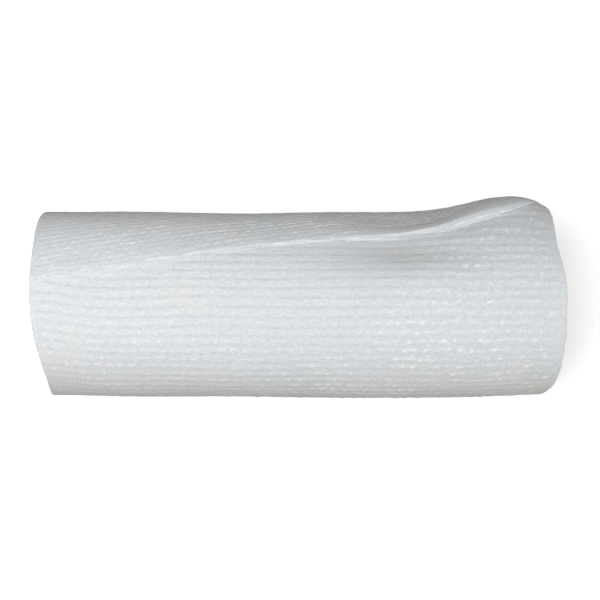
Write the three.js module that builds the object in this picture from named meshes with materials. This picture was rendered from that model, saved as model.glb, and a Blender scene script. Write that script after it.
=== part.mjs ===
// Elastic bandage roll: one strip of white crepe, wound up and lying on its side. Millimetres, +Z up.
//
// X runs along the roll, +Y leads to its back, and z = 0 is the surface that it lies on. Angles go round the section
// in degrees, from 0 at the crown towards the back, so the front is at -90 and the underside at -180. The outermost
// turn starts under the strip's cut end, on the back, and runs by the underside, the front and the crown to that end.
// On its way over the crown it is folded along a slanting line, and past the fold its rows run askew.

import * as THREE from "three";

const STRIP_WIDTH = 150; // also the length of the roll
const ROLL_RADIUS = 28; // at the cut end, which is the widest place of the spiral
const LAYER = 0.9; // one thickness of the strip
const FLAT_DEPTH = 1; // the roll's weight presses its underside flat by this much
const OVAL = 0.01; // and makes it this much wider and lower, as a share of its radius
const AXIS_Y = -2.08; // the middle of the winding, set so that the whole part is centred on the origin
const RIM_ROUND = 1.4; // the strip's selvedges give both ends of the roll a soft rim

// Cross-sections along the roll, from its left end: closer where the fold bends and stands up sharply.
const SECTION_STEPS = [
  { upTo: 16, steps: 7 },
  { upTo: STRIP_WIDTH / 2 - RIM_ROUND, steps: 9 },
];

// The crepe's rows: ribs across the strip, so along the roll. Past the fold they are closer and run askew.
const FRONT_ROWS = { pitch: 2.85, depth: 0.45 };
const BACK_ROWS = { pitch: 1.85, depth: 0.35 };
const ROW_SLANT = 12; // degrees between the rows on either side of the fold
// One row across: a narrow groove and a broad flat rib, as shares of its pitch and its depth.
const ROW_PROFILE = [
  { at: 0, up: -1 },
  { at: 0.27, up: 0 },
  { at: 0.73, up: 0 },
];
const END_ANGLE = 120; // where the cut end crosses the middle of the roll; it follows the slanted rows
const ROW_FLARE = { reach: 22, lift: 1.8 }; // towards the left end the front rows rise a little

// The line of the fold over the crown, how high it stands, how sharp its lip is, from 0, soft, to 1, and how many
// millimetres its tail reaches towards the back.
const FOLD_LINE = [
  { x: -75, angle: 5.5, rise: 0.5, sharp: 0, tail: 3.8 },
  { x: -47, angle: 14, rise: 0.6, sharp: 0, tail: 3.8 },
  { x: -13, angle: 25, rise: 0.8, sharp: 0.1, tail: 3.8 },
  { x: 16, angle: 31, rise: 0.9, sharp: 0.3, tail: 4 },
  { x: 32, angle: 35.5, rise: 1.1, sharp: 0.8, tail: 4.4 },
  { x: 42, angle: 42.5, rise: 1.4, sharp: 1, tail: 5.5 },
  { x: 49, angle: 49.5, rise: 1.6, sharp: 1, tail: 7.5 },
  { x: 56, angle: 54.5, rise: 1.7, sharp: 1, tail: 9 },
  { x: 62, angle: 57.5, rise: 1.6, sharp: 1, tail: 9 },
  { x: 69, angle: 66, rise: 0.9, sharp: 0.8, tail: 8 },
  { x: 75, angle: 76, rise: 0.3, sharp: 0.4, tail: 7 },
];

// The fold's profile from its foot on the front to its crest: millimetres across the fold line, and a share of its
// rise. A sharp lip leans over its own foot. Behind the crest it falls away over shares of the tail's reach.
const FOLD_FACE = [
  { soft: -3.2, lip: -0.7, up: 0 },
  { soft: -1.6, lip: -1.4, up: 0.55 },
  { soft: 0, lip: 0, up: 1 },
];
const FOLD_TAIL = [
  { reach: 0.38, up: 0.7 },
  { reach: 1, up: 0 },
];

// Places where the winding stands proud of an even roll or dips below it, each a smooth hill or hollow.
const SWELLINGS = [
  { x: 63, angle: 82, height: 4.6, along: 16, around: 30 },
  { x: 34, angle: 24, height: -0.8, along: 18, around: 8 },
  { x: 26, angle: -88, height: 0.6, along: 30, around: 42 },
  { x: 27, angle: 57, height: -0.8, along: 17, around: 12 },
  { x: 78, angle: -78, height: -0.8, along: 16, around: 52 },
  { x: -78, angle: -70, height: -0.6, along: 14, around: 50 },
  { x: -18, angle: 84, height: -0.6, along: 34, around: 36 },
  { x: -48, angle: 150, height: 0.4, along: 26, around: 30 },
];

// Places where the turns are drawn in at an end of the roll. side is 1 on the right and -1 on the left.
const DRAWN_IN = [
  { side: -1, angle: -62, depth: 2.4, around: 34 },
  { side: -1, angle: 150, depth: 1.2, around: 40 },
  { side: 1, angle: 33, depth: 1.6, around: 22 },
  { side: 1, angle: 82, depth: 2.6, around: 20 },
  { side: 1, angle: -102, depth: 2.2, around: 24 },
  { side: 1, angle: 175, depth: 1.4, around: 40 },
];
const DRAWN_REACH = 14; // how far in from the end such a place can be felt

// On the ends the turns stand out and in by bands of a few layers, which follow the spiral to a small eye.
const BANDS = { turns: 7, steps: 36, depth: 0.6, eye: 1.6, eyeDepth: 1.6 };

const HALF_WIDTH = STRIP_WIDTH / 2;
const AXIS_Z = ROLL_RADIUS - LAYER * (1 - (180 - END_ANGLE) / 360) - FLAT_DEPTH;
const DEGREES_PER_MM = 180 / (Math.PI * ROLL_RADIUS);
const { degToRad, euclideanModulo, smoothstep } = THREE.MathUtils;

// The fold line at x, as a smooth curve through its table.
const foldColumns = ["angle", "rise", "sharp", "tail"];
const foldCurve = new THREE.CubicInterpolant(
  FOLD_LINE.map((row) => row.x),
  FOLD_LINE.flatMap((row) => foldColumns.map((column) => row[column])),
  foldColumns.length,
);
function foldAt(x) {
  const [angle, rise, sharp, tail] = foldCurve.evaluate(x);
  return { angle, rise, sharp: THREE.MathUtils.clamp(sharp, 0, 1), tail };
}

// The angle of the cut end at x.
function endAt(x) {
  return END_ANGLE + Math.tan(degToRad(ROW_SLANT)) * x * DEGREES_PER_MM;
}

// A bell curve that is 1 where the two angles meet, whichever way round.
function bell(angle, centre, spread) {
  const apart = euclideanModulo(angle - centre + 180, 360) - 180;
  return Math.exp(-((apart / spread) ** 2));
}

// How far the winding stands from the axis, without rows and fold. lead is the angle left to the cut end.
function windingRadius(x, angle, lead) {
  const spiral = ROLL_RADIUS - (LAYER * lead) / 360;
  const oval = 1 - OVAL * Math.cos(2 * degToRad(angle));
  return SWELLINGS.reduce(
    (radius, s) => radius + s.height * Math.exp(-(((x - s.x) / s.along) ** 2)) * bell(angle, s.angle, s.around),
    spiral * oval,
  );
}

// How far the strip's edge is drawn in at an end of the roll.
function drawnIn(side, angle) {
  const depths = DRAWN_IN.filter((d) => d.side === side).map((d) => d.depth * bell(angle, d.angle, d.around));
  return depths.reduce((sum, depth) => sum + depth, 0);
}

// A point at an angle round the axis. Nothing goes below the surface that the roll lies on.
function pointAt(x, angle, radius) {
  const a = degToRad(angle);
  return new THREE.Vector3(x, AXIS_Y + radius * Math.sin(a), Math.max(0, AXIS_Z + radius * Math.cos(a)));
}

// The rows fade out at the selvedges and where the roll's weight presses them flat.
function rowStrength(x, angle) {
  const fromSelvedge = smoothstep(HALF_WIDTH - Math.abs(x), 1, 8);
  const fromUnderside = 1 - bell(angle, 180, 15);
  return fromSelvedge * fromUnderside;
}

// The lines of parallel rows between two angles. They are counted from an angle, forwards or backwards, and keep their
// keys from section to section.
function rowLines(x, rows, { from, way, key, low, high }) {
  const lines = [];
  const step = rows.pitch * DEGREES_PER_MM;
  for (let row = 0; row * step < 360; row++) {
    ROW_PROFILE.forEach((point, i) => {
      const angle = from + way * (row + point.at) * step;
      const height = point.up * rows.depth * rowStrength(x, angle);
      if (angle > low && angle < high) lines.push({ key: key + way * (row * ROW_PROFILE.length + i), angle, height });
    });
  }
  return way > 0 ? lines : lines.reverse();
}

// The lines that cross one section, in their order round it from under the cut end to the cut end. Rows stop where
// they meet the fold or the cut end.
const KEYS = { start: 0, front: 1, fold: 1000, back: 2000 };
const CLEAR = 0.35 * DEGREES_PER_MM; // the least distance between a row's line and the line that stops it
function linesAcross(x) {
  const fold = foldAt(x);
  const end = endAt(x);
  const start = end - 360;
  const face = FOLD_FACE.map((p) => ({ across: THREE.MathUtils.lerp(p.soft, p.lip, fold.sharp), up: p.up }));
  const behind = FOLD_TAIL.map((p) => ({ across: fold.tail * p.reach, up: p.up }));
  const profile = [...face, ...behind].map((p, i) => ({
    key: KEYS.fold + i,
    angle: fold.angle + p.across * DEGREES_PER_MM,
    height: fold.rise * p.up,
  }));
  const foot = Math.min(...profile.map((line) => line.angle));
  const past = profile.at(-1).angle;

  const flare = ROW_FLARE.lift * smoothstep(-x, HALF_WIDTH - ROW_FLARE.reach, HALF_WIDTH) * DEGREES_PER_MM;
  const front = rowLines(x, FRONT_ROWS, {
    from: endAt(-HALF_WIDTH) - 360 + flare,
    way: 1,
    key: KEYS.front,
    low: start + CLEAR,
    high: foot - CLEAR,
  });
  const back = rowLines(x, BACK_ROWS, { from: end, way: -1, key: KEYS.back, low: past + CLEAR, high: end - CLEAR });
  const first = { key: KEYS.start, angle: start, height: 0 };
  const last = { key: KEYS.back, angle: end, height: 0 };
  return [first, ...front, ...profile, ...back, last].map((line) => ({ ...line, lead: end - line.angle }));
}

// Collects the points and the triangles of one closed surface.
class Surface {
  points = [];
  triangles = [];

  add(point) {
    return this.points.push(point) - 1;
  }

  // Adds a triangle, unless two of its corners are the same point. turned reverses the side that it faces.
  face(a, b, c, turned = false) {
    if (a !== b && b !== c && c !== a) this.triangles.push(...(turned ? [a, c, b] : [a, b, c]));
  }

  // A band of triangles between two rows of points, each in rising order of its keys.
  zip(near, far, turned) {
    let i = 0;
    let j = 0;
    while (i < near.length - 1 || j < far.length - 1) {
      const nearNext = i + 1 < near.length ? near[i + 1].key : Infinity;
      const farNext = j + 1 < far.length ? far[j + 1].key : Infinity;
      if (nearNext <= farNext) this.face(near[i].index, far[j].index, near[++i].index, turned);
      else this.face(near[i].index, far[j].index, far[++j].index, turned);
    }
  }

  geometry() {
    const made = new THREE.BufferGeometry().setFromPoints(this.points);
    made.setIndex(this.triangles);
    made.computeVertexNormals();
    return made;
  }
}

// One section of the outermost turn, as keyed points.
function addSection(surface, x) {
  const side = Math.sign(x);
  const weight = smoothstep(Math.abs(x), HALF_WIDTH - DRAWN_REACH, HALF_WIDTH);
  return linesAcross(x).map((line) => {
    const radius = windingRadius(x, line.angle, line.lead) + line.height;
    const along = x - side * weight * drawnIn(side, line.angle);
    return { ...line, index: surface.add(pointAt(along, line.angle, radius)) };
  });
}

// The rim of one end: the section next to it, carried to the end of the roll and a little inwards.
function addRim(surface, side, section) {
  return section.map((line) => {
    const x = side * HALF_WIDTH;
    const radius = windingRadius(x, line.angle, line.lead) - RIM_ROUND;
    const index = surface.add(pointAt(x - side * drawnIn(side, line.angle), line.angle, radius));
    return { key: line.angle, index, sectionKey: line.key };
  });
}

// One end of the roll: a spiral valley and, half a band further out, a spiral crest, from the eye to the rim.
function addEnd(surface, side, rim) {
  const { turns, steps, depth, eye, eyeDepth } = BANDS;
  const start = rim[0].key;
  const last = turns * steps;
  const turned = side > 0;
  const middle = ROLL_RADIUS - LAYER - RIM_ROUND;
  const place = (i, share, inset) => {
    const angle = start + (i * 360) / steps;
    const radius = eye + (middle - 1 - eye) * share;
    return pointAt(side * (HALF_WIDTH - inset) - (side * drawnIn(side, angle) * radius) / middle, angle, radius);
  };

  const valley = [];
  for (let i = 0; i <= last; i++) valley.push(surface.add(place(i, i / last, depth)));
  const outer = [valley[last]];
  for (let i = 1; i < steps; i++) outer.push(surface.add(place(i, 1, depth)));
  outer.push(valley[last]);
  const beyond = (i) => (i + steps <= last ? valley[i + steps] : outer[i + steps - last]);
  const crest = [];
  for (let i = 0; i < last; i++) {
    const inner = i / last;
    const next = Math.min(1, (i + steps) / last);
    crest.push(surface.add(place(i, (inner + next) / 2, 0)));
  }
  crest.push(valley[last]);

  for (let i = 0; i < last; i++) {
    surface.face(valley[i], crest[i], valley[i + 1], turned);
    surface.face(valley[i + 1], crest[i], crest[i + 1], turned);
    surface.face(crest[i], beyond(i), crest[i + 1], turned);
    surface.face(crest[i + 1], beyond(i), beyond(i + 1), turned);
  }

  const centre = surface.add(pointAt(side * (HALF_WIDTH - eyeDepth), 0, 0));
  for (let i = 0; i < steps; i++) surface.face(centre, valley[i], valley[i + 1], turned);
  surface.face(centre, valley[steps], crest[0], turned);
  surface.face(centre, crest[0], valley[0], turned);

  const circle = outer.map((index, i) => ({ index, key: start + (i * 360) / steps }));
  surface.zip(circle, rim, turned);
  surface.face(valley[last], rim.at(-1).index, rim[0].index, turned);
}

// The whole roll: sections along it, the step of the cut end between each two, and the two ends.
function woundRoll() {
  const surface = new Surface();
  const places = [RIM_ROUND - HALF_WIDTH];
  for (const { upTo, steps } of SECTION_STEPS) {
    const from = places.at(-1);
    for (let i = 1; i <= steps; i++) places.push(THREE.MathUtils.lerp(from, upTo, i / steps));
  }
  const sections = places.map((x) => addSection(surface, x));
  const leftRim = addRim(surface, -1, sections[0]);
  const rightRim = addRim(surface, 1, sections.at(-1));
  const bySection = (rim) => rim.map((line) => ({ index: line.index, key: line.sectionKey }));
  const rows = [bySection(leftRim), ...sections, bySection(rightRim)];
  for (let i = 0; i + 1 < rows.length; i++) {
    const [near, far] = [rows[i], rows[i + 1]];
    surface.zip(near, far);
    surface.face(near.at(-1).index, far.at(-1).index, near[0].index);
    surface.face(near[0].index, far.at(-1).index, far[0].index);
  }
  addEnd(surface, -1, leftRim);
  addEnd(surface, 1, rightRim);
  return surface.geometry();
}

const crepe = new THREE.MeshStandardMaterial({ name: "crepe", color: 0xe6e8ea, roughness: 0.95, metalness: 0 });

const roll = new THREE.Mesh(woundRoll(), crepe);
roll.name = "bandage_roll";

const part = new THREE.Group();
part.add(roll);

export default part;
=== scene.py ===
"""Elastic bandage roll: the looks of one strip of white crepe, wound up and lying on its side.

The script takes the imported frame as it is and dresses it. The strip is made in four lengths that follow one
another: the wound turns from the eye outwards, the outer turn from beneath the cut end to the underside, from
there by the front and over the fold, and the last rows up to the cut end. Sizes are in millimetres, angles in
degrees, and meshes are made in metres.

Angles go round the section from 0 at the crown towards the back. The front is at -90, the underside at -180.
"""

import logging
import math
from dataclasses import dataclass
from enum import Enum

import bpy
import numpy as np
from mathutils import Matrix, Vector


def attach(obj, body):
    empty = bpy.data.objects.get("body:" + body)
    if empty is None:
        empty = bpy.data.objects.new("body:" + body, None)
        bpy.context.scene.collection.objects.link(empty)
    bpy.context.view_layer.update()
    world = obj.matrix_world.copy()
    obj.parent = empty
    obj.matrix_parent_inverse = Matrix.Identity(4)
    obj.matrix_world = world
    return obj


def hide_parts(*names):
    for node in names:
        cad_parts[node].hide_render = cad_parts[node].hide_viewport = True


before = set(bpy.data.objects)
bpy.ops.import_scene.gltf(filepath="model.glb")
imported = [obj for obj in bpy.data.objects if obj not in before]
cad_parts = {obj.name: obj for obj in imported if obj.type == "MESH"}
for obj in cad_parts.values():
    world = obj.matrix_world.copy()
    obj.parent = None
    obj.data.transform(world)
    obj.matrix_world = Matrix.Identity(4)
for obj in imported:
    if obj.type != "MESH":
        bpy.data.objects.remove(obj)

log = logging.getLogger("bandage")

Array = np.ndarray
Colour = tuple[float, float, float]
MM = 0.001  # one millimetre in Blender's metres
FULL_TURN = 360.0
UNDERSIDE = 180.0  # the angle of the flat underside
WAVES = 9  # plane waves in one slow unevenness
SCATTER = (12.9898, 78.233, 43758.5453)  # factors that spread a sine's values like chance
BODY = "root"
NODE = "bandage_roll"
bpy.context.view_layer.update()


# Small shared formulas


def smoothstep(value: Array, low: float, high: float) -> Array:
    """A ramp from 0 at low to 1 at high, level at both ends.

    Args:
        value: where the ramp is read.
        low: the ramp is 0 up to here.
        high: the ramp is 1 from here on.

    Returns:
        The ramp's height, shaped like value.
    """
    t = np.clip((value - low) / (high - low), 0, 1)
    return t * t * (3 - 2 * t)


def bell(angle: Array, centre: float, spread: float) -> Array:
    """A bell curve over the difference of two angles, whichever way round it is shorter."""
    apart = (angle - centre + FULL_TURN / 2) % FULL_TURN - FULL_TURN / 2
    return np.exp(-((apart / spread) ** 2))


def lerp(a: Array, b: Array, t: Array) -> Array:
    """The straight mix of a and b: a where t is 0 and b where it is 1."""
    return a + (b - a) * t


def cell_value(row: Array, column: Array, salt: float) -> Array:
    """An even random-looking number from 0 to 1 for each cell of a lattice: the fraction of a large sine."""
    by_row, by_column, size = SCATTER
    return np.abs(np.sin(row * by_row + column * by_column + salt) * size) % 1


def wander(x: Array, s: Array, scale: float, seed: int) -> Array:
    """Slow, smooth unevenness: a quarter of the sum of plane waves with random directions and phases, whose
    lengths are 0.7 to 1.6 of the scale.

    Args:
        x: place along the roll.
        s: place round the roll, or along the strip.
        scale: the usual distance between two hills, in the units of x and s.
        seed: picks the waves.

    Returns:
        Heights of about -1 to 1.
    """
    draw = np.random.default_rng(seed)
    total = np.zeros(np.broadcast(x, s).shape)
    for heading, phase, stretch in draw.random((WAVES, 3)):
        wave = 2 * math.pi / (scale * (0.7 + 0.9 * stretch))
        turn = 2 * math.pi * heading
        total += np.sin(wave * (x * math.cos(turn) + s * math.sin(turn)) + 2 * math.pi * phase)
    return total / 4


def mottle(x: Array, s: Array, cell_x: float, cell_s: float, salt: float) -> Array:
    """Uneven patches: a random number at each corner of a lattice, eased smoothly from corner to corner.

    Args:
        x: place along the roll.
        s: place along the strip.
        cell_x: size of a lattice cell along x.
        cell_s: size of a lattice cell along s.
        salt: picks the numbers.

    Returns:
        Values from 0 to 1.
    """
    column, row = x / cell_x, s / cell_s
    i, j = np.floor(column), np.floor(row)
    u, v = smoothstep(column - i, 0, 1), smoothstep(row - j, 0, 1)
    near = lerp(cell_value(j, i, salt), cell_value(j, i + 1, salt), u)
    far = lerp(cell_value(j + 1, i, salt), cell_value(j + 1, i + 1, salt), u)
    return lerp(near, far, v)


def smooth_through(points: Array, at: Array) -> Array:
    """A Catmull-Rom curve through rows of points: each stretch is the cubic that leaves and meets its two
    points in the direction of their neighbours.

    Args:
        points: the values to pass through, one row each, with any shape after the first axis.
        at: places along the curve, from 0 at the first row to 1 at the last.

    Returns:
        One value for each place, with the shape of a row.
    """
    last = len(points) - 1
    place = np.clip(at, 0, 1) * last
    i = np.minimum(place.astype(int), last - 1)
    t = (place - i).reshape((-1,) + (1,) * (points.ndim - 1))
    before, a, b, after = (points[np.clip(i + k, 0, last)] for k in (-1, 0, 1, 2))
    return 0.5 * (
        2 * a
        + (b - before) * t
        + (2 * before - 5 * a + 4 * b - after) * t**2
        + (3 * a - before - 3 * b + after) * t**3
    )


# The form of the roll, as its solid has it


@dataclass(frozen=True)
class Hill:
    """A place where the winding stands proud of an even roll, or dips below it where height is negative."""

    x: float
    angle: float
    height: float
    along: float
    around: float


@dataclass(frozen=True)
class DrawnIn:
    """A place where the turns are drawn in at an end: side is 1 on the right and -1 on the left."""

    side: int
    angle: float
    depth: float
    around: float


@dataclass(frozen=True)
class FoldPlace:
    """The fold at one place along the roll: its angle, its rise, how sharp its lip is, from 0 to 1, and how
    far its slopes reach before and behind its crest, in millimetres."""

    x: float
    angle: float
    rise: float
    sharp: float
    slope: float
    tail: float


@dataclass(frozen=True)
class Fold:
    """The slanting fold over the crown, soft on the left and a lip that leans over its foot on the right."""

    line: tuple[FoldPlace, ...] = (
        FoldPlace(-75, 5.5, 0.4, 0, 3.8, 3.8),
        FoldPlace(-47, 15.2, 0.35, 0, 3.4, 6.0),
        FoldPlace(-13, 27.5, 0.42, 0.1, 1.6, 6.5),
        FoldPlace(16, 33.8, 0.6, 0.6, 0.9, 5.5),
        FoldPlace(32, 36.8, 0.95, 1, 0.7, 4.4),
        FoldPlace(42, 42.5, 1.3, 1, 1.1, 5.5),
        FoldPlace(49, 49.5, 1.5, 1, 1.4, 7.5),
        FoldPlace(56, 54.5, 1.6, 1, 1.5, 9),
        FoldPlace(62, 57.5, 1.5, 1, 1.5, 9),
        FoldPlace(69, 66, 0.9, 0.8, 1.4, 8),
        FoldPlace(75, 76, 0.3, 0.4, 1.4, 7),
    )
    crease_depth: float = 1.35
    crease_x: float = 39.0
    crease_along: float = 22.0
    crease_reach: float = 4.2
    crease_behind: float = 1.8
    lip_foot: float = 0.5  # how far the foot of a sharp lip lies behind the middle of its slope
    up: tuple[float, ...] = (0, 0.5, 1, 0.7, 0)  # the profile's five heights, as shares of the rise
    tail_bend: float = 0.38  # where the fourth of them lies, as a share of the tail

    def at(self, x: Array, name: str) -> Array:
        """One of the fold's values at x, on a smooth curve through its places.

        Args:
            x: place along the roll.
            name: the field of FoldPlace to read.

        Returns:
            The value, shaped like x.
        """
        xs = np.array([place.x for place in self.line])
        values = np.array([getattr(place, name) for place in self.line], float)
        slopes = np.gradient(values, xs)
        i = np.clip(np.searchsorted(xs, x) - 1, 0, len(xs) - 2)
        span = xs[i + 1] - xs[i]
        t = np.clip((x - xs[i]) / span, 0, 1)
        return (
            (1 + 2 * t) * (1 - t) ** 2 * values[i]
            + t * (1 - t) ** 2 * span * slopes[i]
            + t * t * (3 - 2 * t) * values[i + 1]
            + t * t * (t - 1) * span * slopes[i + 1]
        )

    def crease(self, x: Array, angle: Array, per_mm: float) -> Array:
        """Depth of the dip along the foot of the fold: it dies away slowly before and soon behind the foot.

        Args:
            x: place along the roll.
            angle: place round the section.
            per_mm: degrees that a millimetre takes round the roll.

        Returns:
            Millimetres that the turns sink there.
        """
        to_fold = (self.at(x, "angle") - angle + FULL_TURN / 2) % FULL_TURN - FULL_TURN / 2
        before = to_fold / per_mm
        away = np.where(before > 0, before / self.crease_reach, (before / self.crease_behind) ** 2)
        return self.crease_depth * np.exp(-(((x - self.crease_x) / self.crease_along) ** 2) - away)

    def profile(self, x: Array, at: Array) -> tuple[Array, Array]:
        """The fold's section: a smooth curve through five points, from its foot over its crest to its tail.

        Args:
            x: places along the roll.
            at: places along the profile, from 0 at its foot to 1 at its tail.

        Returns:
            Millimetres across the fold's line and millimetres up, with a row for each place and a column for
            each x.
        """
        sharp = np.clip(self.at(x, "sharp"), 0, 1)
        slope = self.at(x, "slope")
        tail = self.at(x, "tail")
        foot = lerp(-slope, self.lip_foot - slope / 2, sharp)
        face = lerp(-slope / 2, -slope, sharp)
        across = np.stack([foot, face, tail * 0, tail * self.tail_bend, tail])
        rise = np.array(self.up)[:, None] * self.at(x, "rise")
        return smooth_through(across, at), smooth_through(rise, at)


@dataclass(frozen=True)
class Winding:
    """The spiral that the strip follows, with its flat underside and its uneven places."""

    width: float = 150.0
    radius: float = 28.0
    layer: float = 0.9
    flat_depth: float = 1.0
    oval: float = 0.01
    axis_y: float = -2.08
    end_angle: float = 120.0
    row_slant: float = 12.0
    packing: float = 0.86  # what the weight leaves of a layer's height over the flat underside
    drawn_reach: float = 14.0
    fold: Fold = Fold()
    hills: tuple[Hill, ...] = (
        Hill(63, 82, 4.6, 16, 30),
        Hill(34, 24, -0.8, 18, 8),
        Hill(34, 5, 0.6, 24, 12),
        Hill(27, 57, -0.8, 17, 12),
        Hill(26, -88, 0.6, 30, 42),
        Hill(78, -78, -0.8, 16, 52),
        Hill(-78, -70, -0.6, 14, 50),
        Hill(-18, 84, -0.6, 34, 36),
        Hill(-48, 150, 0.4, 26, 30),
    )
    drawn: tuple[DrawnIn, ...] = (
        DrawnIn(-1, -62, 2.4, 34),
        DrawnIn(-1, 150, 1.2, 40),
        DrawnIn(1, 33, 1.6, 22),
        DrawnIn(1, 82, 2.6, 20),
        DrawnIn(-1, 62, -0.9, 30),
        DrawnIn(1, -102, 2.2, 24),
        DrawnIn(1, 175, 1.4, 40),
    )

    @property
    def half_width(self) -> float:
        """Half of the strip's width."""
        return self.width / 2

    @property
    def axis_z(self) -> float:
        """Height of the axis over the surface that the roll lies on."""
        below_end = self.layer * (1 - (UNDERSIDE - self.end_angle) / FULL_TURN)
        return self.radius - below_end - self.flat_depth

    @property
    def degrees_per_mm(self) -> float:
        """Angle that a millimetre takes on the outside of the roll."""
        return FULL_TURN / 2 / (math.pi * self.radius)

    def end_at(self, x: Array) -> Array:
        """The angle of the cut end at x: a straight line on the unrolled strip, as askew as the back rows."""
        return self.end_angle + math.tan(math.radians(self.row_slant)) * x * self.degrees_per_mm

    def outside(self, x: Array, angle: Array, lead: Array) -> Array:
        """Radius of the strip's outer face: the spiral, made a little oval, with each hill added as a bell.

        Args:
            x: place along the roll.
            angle: place round the section.
            lead: the angle that is left to the cut end, more than a full turn on the turns beneath.

        Returns:
            Distance from the axis.
        """
        spiral = self.radius - self.layer * lead / FULL_TURN
        depth_share = np.clip(spiral / self.radius, 0, 1) ** 2
        radius = spiral * (1 - self.oval * depth_share * np.cos(2 * np.radians(angle)))
        for hill in self.hills:
            along = np.exp(-(((x - hill.x) / hill.along) ** 2))
            radius = radius + hill.height * depth_share * along * bell(angle, hill.angle, hill.around)
        return radius

    def near_end(self, x: Array) -> Array:
        """How far the ends' unevenness reaches in: 1 at the strip's edge, and 0 from drawn_reach inwards."""
        return smoothstep(np.abs(x), self.half_width - self.drawn_reach, self.half_width)

    def drawn_in(self, side: Array, angle: Array) -> Array:
        """How far the strip's edge is drawn in at an end of the roll: the sum of a bell for each place.

        Args:
            side: positive on the right end and negative on the left.
            angle: place round the section.

        Returns:
            Millimetres, negative where the edge stands out.
        """
        total = np.zeros(np.broadcast(side, angle).shape)
        for place in self.drawn:
            total += np.where(side * place.side > 0, place.depth, 0) * bell(angle, place.angle, place.around)
        return total

    def place(self, x: Array, angle: Array, radius: Array) -> Array:
        """Points at an angle and a distance from the axis, kept above the flat underside.

        Args:
            x: place along the roll.
            angle: place round the section.
            radius: distance from the axis.

        Returns:
            Points in millimetres, with their three coordinates on the last axis.
        """
        turn = np.radians(angle)
        lead = (self.end_at(x) - angle) % FULL_TURN
        beneath = self.radius - self.layer * lead / FULL_TURN - radius
        floor = np.maximum(0, beneath * self.packing)
        y = self.axis_y + radius * np.sin(turn)
        z = np.maximum(floor, self.axis_z + radius * np.cos(turn))
        return np.stack(np.broadcast_arrays(x, y, z), axis=-1)


# The relief of the crepe


@dataclass(frozen=True)
class Relief:
    """What the weave does to a face of the strip: its height in millimetres, and two masks from 0 to 1, of
    painted shade and of painted highlight.
    """

    height: Array
    painted_shade: Array
    # the mask of painted highlight: loops, threads, grain tops and strands lightened where light catches them
    loop: Array

    def mixed(self, other: "Relief", share: Array) -> "Relief":
        """This relief with a share of another one.

        Args:
            other: the other relief.
            share: 0 for this relief and 1 for the other.

        Returns:
            The mix.
        """
        return Relief(
            lerp(self.height, other.height, share),
            lerp(self.painted_shade, other.painted_shade, share),
            lerp(self.loop, other.loop, share),
        )

    def times(self, mask: Array) -> "Relief":
        """This relief with everything scaled by a mask."""
        return Relief(self.height * mask, self.painted_shade * mask, self.loop * mask)

    def with_painted_shade(self, share: Array) -> "Relief":
        """This relief with a share of painted shade added."""
        return Relief(self.height, np.clip(self.painted_shade + share, 0, 1), self.loop)


@dataclass(frozen=True)
class Rows:
    """One kind of crimped row: its pitch, that of its pinches, and its depths and heights in millimetres."""

    pitch: float
    pinch: float
    groove: float
    rib: float
    pit: float
    loop: float


@dataclass(frozen=True)
class Patch:
    """A soft-edged patch of the strip: its middle, how far it reaches along the roll and across the rows, its
    share of the full effect, and a power that is larger where its middle is flatter."""

    x: float
    s: float
    along: float
    across: float
    share: float
    power: int

    def at(self, x: Array, s: Array) -> Array:
        """The patch's strength: a bell over the sum of both distances, each raised to the power."""
        apart = ((x - self.x) / self.along) ** self.power
        return self.share * np.exp(-apart - (((s - self.s) / self.across) ** self.power))


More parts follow.
